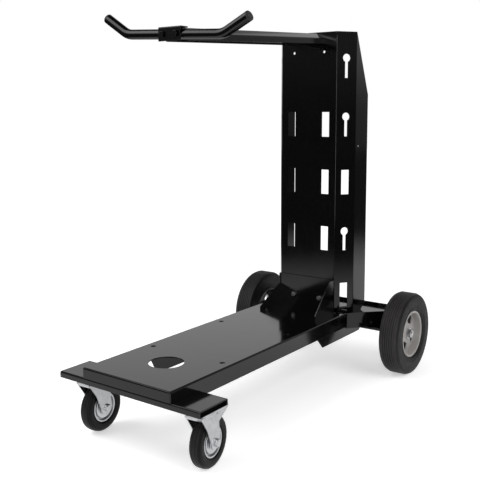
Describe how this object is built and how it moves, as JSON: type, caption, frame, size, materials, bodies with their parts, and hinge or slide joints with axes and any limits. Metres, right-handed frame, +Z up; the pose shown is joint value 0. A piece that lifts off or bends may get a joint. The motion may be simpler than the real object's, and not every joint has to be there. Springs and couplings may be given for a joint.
{
  "type": "welding cart",
  "caption": "Welding cart with a flat sheet-metal deck, a tall slotted column that cradles a gas cylinder over a rear tray, a forward pull handle, large rear wheels and swivel front casters.",
  "frame": {"origin": "centre of the cart's bounding box, on the floor", "axes": "+X to the right for someone who stands at the caster end and looks towards the column, +Y from the casters to the rear wheels, +Z up"},
  "size_m": [0.6028, 1.0886, 1.0639],
  "materials": {
    "black_paint": "glossy black powder coat on folded sheet",
    "zinc_steel": "bright zinc-plated pressed steel",
    "bright_steel": "bare turned steel",
    "rim_grey": "satin warm grey paint on a pressed rim",
    "rear_tyre": "ribbed charcoal rubber",
    "caster_tyre": "smooth dark rubber",
    "cap_plastic": "black moulded plug",
    "bush_plastic": "dark moulded bush"
  },
  "bodies": {
    "frame": {"axle_carrier": "black_paint", "caster_channel": "black_paint", "caster_left_kingpin": "zinc_steel", "caster_left_plate": "black_paint", "caster_left_race": "zinc_steel", "caster_right_kingpin": "zinc_steel", "caster_right_plate": "black_paint", "caster_right_race": "zinc_steel", "column": "black_paint", "column_shoe": "black_paint", "cylinder_tray": "black_paint", "deck_pan": "black_paint", "deck_rib_left": "black_paint", "deck_rib_right": "black_paint", "handle_bar": "black_paint", "handle_bolt_left": "black_paint", "handle_bolt_right": "black_paint", "handle_cap_left": "cap_plastic", "handle_cap_right": "cap_plastic", "handle_saddle": "black_paint", "rear_axle": "bright_steel", "rear_left_nut": "bright_steel", "rear_left_spacer": "black_paint", "rear_left_washer": "zinc_steel", "rear_right_nut": "bright_steel", "rear_right_spacer": "black_paint", "rear_right_washer": "zinc_steel", "shoe_bolt_left": "zinc_steel", "shoe_bolt_right": "zinc_steel", "shoe_nut_left": "zinc_steel", "shoe_nut_right": "zinc_steel", "support_arm": "black_paint", "tray_bolt_left": "black_paint", "tray_bolt_right": "black_paint", "tray_nut_left": "black_paint", "tray_nut_right": "black_paint"},
    "rear_wheel_left": {"rear_left_tyre": "rear_tyre", "rear_left_rim": "rim_grey", "rear_left_sleeve": "bush_plastic"},
    "caster_fork_left": {"caster_left_fork": "zinc_steel", "caster_left_axle_bolt": "zinc_steel", "caster_left_axle_nut": "zinc_steel"},
    "caster_wheel_left": {"caster_left_tyre": "caster_tyre", "caster_left_rim": "zinc_steel", "caster_left_sleeve": "bright_steel"},
    "rear_wheel_right": {"rear_right_tyre": "rear_tyre", "rear_right_rim": "rim_grey", "rear_right_sleeve": "bush_plastic"},
    "caster_fork_right": {"caster_right_fork": "zinc_steel", "caster_right_axle_bolt": "zinc_steel", "caster_right_axle_nut": "zinc_steel"},
    "caster_wheel_right": {"caster_right_tyre": "caster_tyre", "caster_right_rim": "zinc_steel", "caster_right_sleeve": "bright_steel"}
  },
  "joints": [
    {"name": "rear_left_spin", "type": "hinge", "parent": "frame", "child": "rear_wheel_left", "pos_m": [-0.26936, 0.4177, 0.12661], "axis": [1, 0, 0], "continuous": true},
    {"name": "rear_right_spin", "type": "hinge", "parent": "frame", "child": "rear_wheel_right", "pos_m": [0.26936, 0.4177, 0.12661], "axis": [1, 0, 0], "continuous": true},
    {"name": "caster_left_swivel", "type": "hinge", "parent": "frame", "child": "caster_fork_left", "pos_m": [-0.178, -0.4883, 0.14099], "axis": [0, 0, 1], "continuous": true},
    {"name": "caster_left_spin", "type": "hinge", "parent": "caster_fork_left", "child": "caster_wheel_left", "pos_m": [-0.17999, -0.45036, 0.06319], "axis": [0.9986, 0.0523, 0], "continuous": true},
    {"name": "caster_right_swivel", "type": "hinge", "parent": "frame", "child": "caster_fork_right", "pos_m": [0.178, -0.4883, 0.14099], "axis": [0, 0, 1], "continuous": true},
    {"name": "caster_right_spin", "type": "hinge", "parent": "caster_fork_right", "child": "caster_wheel_right", "pos_m": [0.17403, -0.45051, 0.06319], "axis": [0.9945, 0.1045, 0], "continuous": true}
  ]
}
